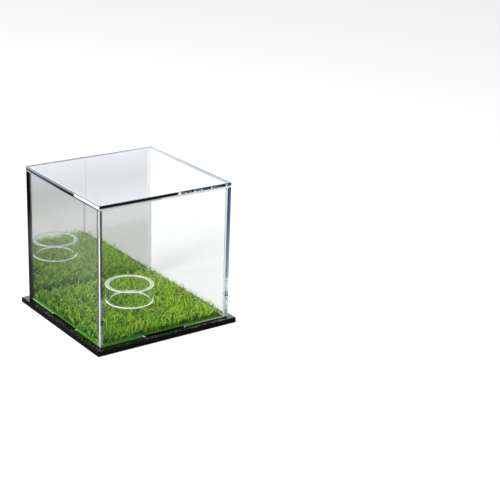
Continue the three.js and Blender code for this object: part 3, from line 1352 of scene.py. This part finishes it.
class YarnTree(GrowTree):
    """The tree that grows one kind of yarn."""

    POINTS_ON_BLADE = 5
    SIDES = 3
    FLATNESS = 0.3
    TAPER = 2.5
    TIP_NARROWING = 0.85
    LEAST_BEND = 0.05
    PATCH = 7 * MM
    TUFT = 1.6 * MM
    SWIRL = 11 * MM
    PATCH_BAND = (0.35, 0.65)
    TUFT_BAND = (0.38, 0.62)
    SHADE_LOW = -0.02
    SHADE_HIGH = 0.8
    GROUP_SHADE = 0.1
    SIDE_PAINTED_LIGHT = 4.0

    def chance(self, low: Any, high: Any, salt: int, kind: str = "FLOAT") -> Wire:
        """A random value for each element.

        Args:
            low: the least value.
            high: the greatest value.
            salt: added to the tree's seed.
            kind: the value's data type.

        Returns:
            The value.
        """
        first, output = {"FLOAT": (2, 1), "FLOAT_VECTOR": (0, 0)}[kind]
        sockets = {first: low, first + 1: high, "Seed": self.value("Seed") + float(salt)}
        return self.out("FunctionNodeRandomValue", {"data_type": kind}, sockets, output)

    def keep(self, geometry: Wire, name: str, value: Wire, kind: str = "FLOAT") -> Wire:
        """Stores a value on the geometry's points under a name."""
        sockets = {"Geometry": geometry, "Name": name, "Value": value}
        return self.out("GeometryNodeStoreNamedAttribute", {"data_type": kind}, sockets)

    def kept(self, name: str, kind: str = "FLOAT") -> Wire:
        """A value stored under a name."""
        return self.out("GeometryNodeInputNamedAttribute", {"data_type": kind}, {"Name": name})

    def scatter(self, reach: Wire, salt: int) -> Wire:
        """A flat random step of up to reach along X and along Y."""
        low, high = (self.vector(side, side, 0.0) for side in (reach * -1.0, reach))
        return self.chance(low, high, salt, "FLOAT_VECTOR")

    def roots(self) -> Wire:
        """A point for each blade, in tufts along rows, with the blade's own values.

        Returns:
            The points.
        """
        width, depth, rows = (self.value(name) for name in ("Mat Width", "Mat Depth", "Rows"))
        grid = self.geo("MeshGrid", Size_X=width, Size_Y=depth, Vertices_X=rows, Vertices_Y=rows)
        points = self.geo("MeshToPoints", Mesh=grid)
        jitter = self.scatter(self.value("Row Jitter"), 1)
        tufts = self.geo("SetPosition", Geometry=points, Offset=jitter)
        blades = self.out("GeometryNodeDuplicateElements", {"domain": "POINT"}, {
            "Geometry": tufts, "Amount": self.value("Blades In Tuft"),
        })
        about = self.scatter(self.value("Tuft Radius"), 2)
        spread = self.geo("SetPosition", Geometry=blades, Offset=about)
        here = self.out("GeometryNodeInputPosition")
        patch = self.noise(here, 1 / self.PATCH, 1.0)
        length = self.value("Length") * (1 - self.value("Length Spread") * self.chance(0.0, 1.0, 3))
        length = length * (1 - self.value("Patchiness") * patch.rise(*self.PATCH_BAND))
        swirl = self.noise(here, 1 / self.SWIRL, 1.0) * (4 * math.pi)
        turn = swirl + self.value("Stray") * self.chance(-1.0, 1.0, 6)
        lean = self.value("Lean") + self.value("Lean Spread") * self.chance(-1.0, 1.0, 4)
        bend = self.value("Bend") + self.value("Bend Spread") * self.chance(-1.0, 1.0, 5)
        geometry = self.keep(spread, "root", here, "FLOAT_VECTOR")
        for name, value in (
            ("tall", length), ("lean", lean), ("bend", bend.math("MAXIMUM", self.LEAST_BEND)),
            ("turn", turn), ("shade", self.shade(here)),
            ("twist", self.chance(0.0, 2 * math.pi, 8)),
        ):
            geometry = self.keep(geometry, name, value)
        return geometry

    def shade(self, here: Wire) -> Wire:
        """A blade's own shade: chance, its tuft's, its patch's, and lighter to the right as painted light.

        Args:
            here: where its root is.

        Returns:
            The shade.
        """
        own = self.chance(self.SHADE_LOW, self.SHADE_HIGH, 7)
        tuft = self.noise(here, 1 / self.TUFT, 1.0).rise(*self.TUFT_BAND)
        patch = self.noise(here, 1 / self.SWIRL, 1.0).rise(*self.PATCH_BAND)
        # Painted light: blades towards the right are lighter, as if lit from the back right.
        side = self.parts(here)[0] * self.SIDE_PAINTED_LIGHT
        return own + tuft * self.GROUP_SHADE + patch * self.GROUP_SHADE + side

    def curved(self, along: Wire) -> Wire:
        """Where a blade's point lies, as the blade bends on an arc from its root.

        Args:
            along: the point's share along the blade.

        Returns:
            The place.
        """
        lean, bend, tall, turn = (self.kept(name) for name in ("lean", "bend", "tall", "turn"))
        angle = lean + bend * along
        out = (lean.math("COSINE") - angle.math("COSINE")) / bend * tall
        up = (angle.math("SINE") - lean.math("SINE")) / bend * tall
        root_x, root_y, _ = self.parts(self.kept("root", "FLOAT_VECTOR"))
        middle_x, middle_y, middle_z = self.parts(self.value("Mat Centre"))
        low_x, low_y, _ = self.parts(self.value("Low Corner"))
        high_x, high_y, _ = self.parts(self.value("High Corner"))
        x = (middle_x + root_x + out * turn.math("COSINE")).math("MAXIMUM", low_x)
        y = (middle_y + root_y + out * turn.math("SINE")).math("MAXIMUM", low_y)
        x, y = x.math("MINIMUM", high_x), y.math("MINIMUM", high_y)
        return self.vector(x, y, self.under_ring(x, y, up + middle_z))

    def under_ring(self, x: Wire, y: Wire, z: Wire) -> Wire:
        """A height that is held down where the ring stands on the pile.

        Args:
            x: where the point is along X.
            y: where it is along Y.
            z: its height.

        Returns:
            The height.
        """
        ring_x, ring_y, ring_z = self.parts(self.value("Ring Centre"))
        away = self.vector(x - ring_x, y - ring_y, 0.0)
        radius = self.vector_math("LENGTH", away, output="Value")
        held = radius.math("GREATER_THAN", self.value("Ring Inner"))
        held = held * radius.math("LESS_THAN", self.value("Ring Outer"))
        return z - held * (z - ring_z).math("MAXIMUM", 0.0)

    def build(self) -> None:
        """Makes the whole tree."""
        line = self.geo("CurvePrimitiveLine", End=(0.0, 0.0, 1.0))
        stem = self.geo("ResampleCurve", Curve=line, Count=self.POINTS_ON_BLADE)
        copies = self.geo("InstanceOnPoints", Points=self.roots(), Instance=stem)
        stems = self.geo("RealizeInstances", Geometry=copies)
        along = self.out("GeometryNodeSplineParameter", output="Factor")
        stems = self.keep(stems, "reach", along)
        reach = self.kept("reach")
        bent = self.geo("SetPosition", Geometry=stems, Position=self.curved(reach))
        turned = self.geo("SetCurveTilt", Curve=bent, Tilt=self.kept("twist"))
        circle = self.geo("CurvePrimitiveCircle", Resolution=self.SIDES, Radius=1.0)
        section = self.geo("Transform", Geometry=circle, Scale=(1.0, self.FLATNESS, 1.0))
        scale = self.value("Width") / 2.0 * (1 - reach ** self.TAPER * self.TIP_NARROWING)
        blades = self.geo(
            "CurveToMesh", Curve=turned, Profile_Curve=section, Fill_Caps=True, Scale=scale
        )
        self.finish_with(self.geo("SetShadeSmooth", Geometry=blades), "Yarn")


@dataclass
class Studio:
    """The floor, the surroundings, the lamp and the camera."""

    floor_radius: float = 6.0
    floor_drop: float = 0.1 * MM
    floor_colour: Colour = (0.86, 0.86, 0.86)
    camera_place: Triple = (-0.426658, -0.716358, 0.356754)
    azimuth: float = -36.541
    elevation: float = 20.341
    roll: float = 2.039
    lens: float = 93.261
    ambient: float = 0.5
    front_sky: Colour = (0.16, 0.16, 0.17)
    back_sky: Colour = (1.3, 1.32, 1.4)
    back_way: Triple = (0.8, 0.6, 0.0)
    back_band: tuple[float, float] = (0.1, 0.7)
    dim_reach: float = 0.3
    # Painted shadow round the case, for the floor seen in reflections.
    dim_tones: Stops = (
        (0.0, (0.05, 0.05, 0.05)), (0.2, (0.07, 0.068, 0.065)), (0.4, (0.22, 0.22, 0.22)),
        (0.7, (0.5, 0.5, 0.5)), (1.0, (0.85, 0.85, 0.85)),
    )
    # Painted shading of the floor seen through the mirror, changing with distance in front of the case.
    inside_tones: Stops = (
        (0.33, (0.96, 0.96, 0.94)), (0.57, (0.64, 0.64, 0.63)), (0.85, (0.85, 0.85, 0.86)),
    )
    # Painted glows on the floor to the left, seen only in reflections.
    left_glows: tuple[Triple, ...] = ((0.055, 0.08, 0.2), (0.08, 0.13, 0.4))
    floor_glow: float = 0.36
    through_glow: float = 0.05
    first_bounce: float = 0.5
    sheets_between: float = 2.5
    mirrorings: float = 2.5
    key_place: Triple = (-1.1, -0.15, 1.0)
    key_aim: Triple = (0.0, 0.0, 0.05)
    key_side: float = 0.8
    key_power: float = 21.0
    clear_bounces: int = 24
    mirror_bounces: int = 12

    def camera(self) -> None:
        """Sets the camera to the photograph's viewing angle."""
        angles = (self.azimuth, self.elevation, self.roll)
        turn, tilt, roll = (math.radians(angle) for angle in angles)
        look = Vector((
            -math.sin(turn) * math.cos(tilt), math.cos(turn) * math.cos(tilt), -math.sin(tilt)
        ))
        level = look.cross(Vector((0.0, 0.0, 1.0))).normalized()
        above = level.cross(look)
        right = math.cos(roll) * level + math.sin(roll) * above
        up = right.cross(look)
        data = bpy.data.cameras.new("camera")
        data.sensor_width = 36.0
        data.lens = self.lens
        camera = placed("camera", data)
        turned = Matrix((right, up, -look)).transposed().to_4x4()
        camera.matrix_world = Matrix.Translation(self.camera_place) @ turned
        bpy.context.scene.camera = camera

    def rays(self, net: Net) -> tuple[Wire, Wire, Wire, Wire]:
        """Tells the rays that reach the surroundings apart.

        Args:
            net: the tree.

        Returns:
            1 on rays that show them, on those of them that were reflected, on those of
            these that also went through the case, and on those that only went through it.
        """
        node = net.add("ShaderNodeLightPath")
        camera, glossy, sent, glossy_depth, sent_depth = (
            Wire(net, node.outputs[name]) for name in (
                "Is Camera Ray", "Is Glossy Ray", "Is Transmission Ray",
                "Glossy Depth", "Transmission Depth",
            )
        )
        gloss = glossy.math("MAXIMUM", sent)
        mirrored = gloss * glossy_depth.math("GREATER_THAN", self.first_bounce)
        inside = mirrored * sent_depth.math("GREATER_THAN", self.sheets_between)
        inside = inside * glossy_depth.math("LESS_THAN", self.mirrorings)
        return gloss.math("MAXIMUM", camera), mirrored, inside, gloss - mirrored

    def floor(self) -> None:
        """A plain pale floor that keeps the object's shadow and is dimmer in reflections."""
        shape = bmesh.new()
        bmesh.ops.create_circle(shape, cap_ends=True, segments=64, radius=self.floor_radius)
        bmesh.ops.translate(shape, vec=(0.0, 0.0, -self.floor_drop), verts=shape.verts)
        floor = piece_of("floor", shape)
        material = bpy.data.materials.new("floor_pale")
        net = fresh_net(material)
        seen, mirrored, inside, through = self.rays(net)
        matt = net.make("ShaderNodeBsdfDiffuse", Color=self.floor_colour)
        strength = seen * self.floor_glow + through * self.through_glow
        glow = net.make("ShaderNodeEmission", Strength=strength)
        plain = net.out("ShaderNodeAddShader", None, {0: matt, 1: glow})
        _, y, _ = net.parts(net.place())
        # Seen through the mirror, the floor has painted shading that changes with distance in front of the
        # case.
        within = net.ramp((0.0 - y) / self.dim_reach, self.inside_tones)
        colour = net.mix(inside, self.dim_floor(net), within)
        dim = net.make("ShaderNodeEmission", Color=colour)
        both = net.out("ShaderNodeMixShader", None, {0: mirrored, 1: plain, 2: dim})
        net.add("ShaderNodeOutputMaterial", None, {"Surface": both})
        floor.data.materials.append(material)

    def dim_floor(self, net: Net) -> Wire:
        """The floor's colour in reflections: a painted shadow, dark under the case and paler further out,
        with painted glows to the left.

        Args:
            net: the tree.

        Returns:
            The colour.
        """
        x, y, _ = net.parts(net.place())
        away = x.math("ABSOLUTE").math("MAXIMUM", y.math("ABSOLUTE"))
        plain = net.ramp(away / self.dim_reach, self.dim_tones)
        near, far = ((0.0 - x).rise(start, end) * level for start, end, level in self.left_glows)
        glow = near + far
        return net.vector_math("MAXIMUM", plain, net.vector(glow, glow, glow))

    def surroundings(self) -> None:
        """A white studio for what shows, its softer image in reflections, and an even light."""
        world = bpy.data.worlds.new("studio")
        net = fresh_net(world)
        seen, mirrored, _, through = self.rays(net)
        way = net.out("ShaderNodeTexCoord", output="Generated")
        back = net.vector_math("DOT_PRODUCT", way, self.back_way, output="Value")
        sky = net.mix(back.rise(*self.back_band), self.front_sky, self.back_sky)
        colour = net.mix(mirrored, (1.0, 1.0, 1.0), sky)
        strength = self.ambient + seen * (1.0 - self.ambient) + through * self.through_glow
        light = net.make("ShaderNodeBackground", Color=colour, Strength=strength)
        net.add("ShaderNodeOutputWorld", None, {"Surface": light})
        bpy.context.scene.world = world

    def key_lamp(self) -> None:
        """Hangs a soft panel lamp that faces the case."""
        data = bpy.data.lights.new("key_panel", "AREA")
        data.shape = "SQUARE"
        data.size = self.key_side
        data.energy = self.key_power
        lamp = placed("key_panel", data)
        aim = Vector(self.key_aim) - Vector(self.key_place)
        turned = aim.to_track_quat("-Z", "Y").to_matrix().to_4x4()
        lamp.matrix_world = Matrix.Translation(self.key_place) @ turned
        lamp.visible_camera = False

    def build(self) -> None:
        """Sets up everything round the object."""
        self.camera()
        self.floor()
        self.surroundings()
        self.key_lamp()
        scene = bpy.context.scene
        scene.view_settings.view_transform = "Standard"
        scene.cycles.max_bounces = self.clear_bounces
        scene.cycles.transmission_bounces = self.clear_bounces
        scene.cycles.glossy_bounces = self.mirror_bounces
        scene.cycles.transparent_max_bounces = self.clear_bounces


def main() -> None:
    """Builds the scene in order."""
    logging.basicConfig(level=logging.INFO, format="%(name)s: %(message)s")
    Studio().build()
    dress("base_plate", BLACK)
    Turf().build()
    RingSeat().build()
    ClearCover().build()


if __name__ == "__main__":
    main()
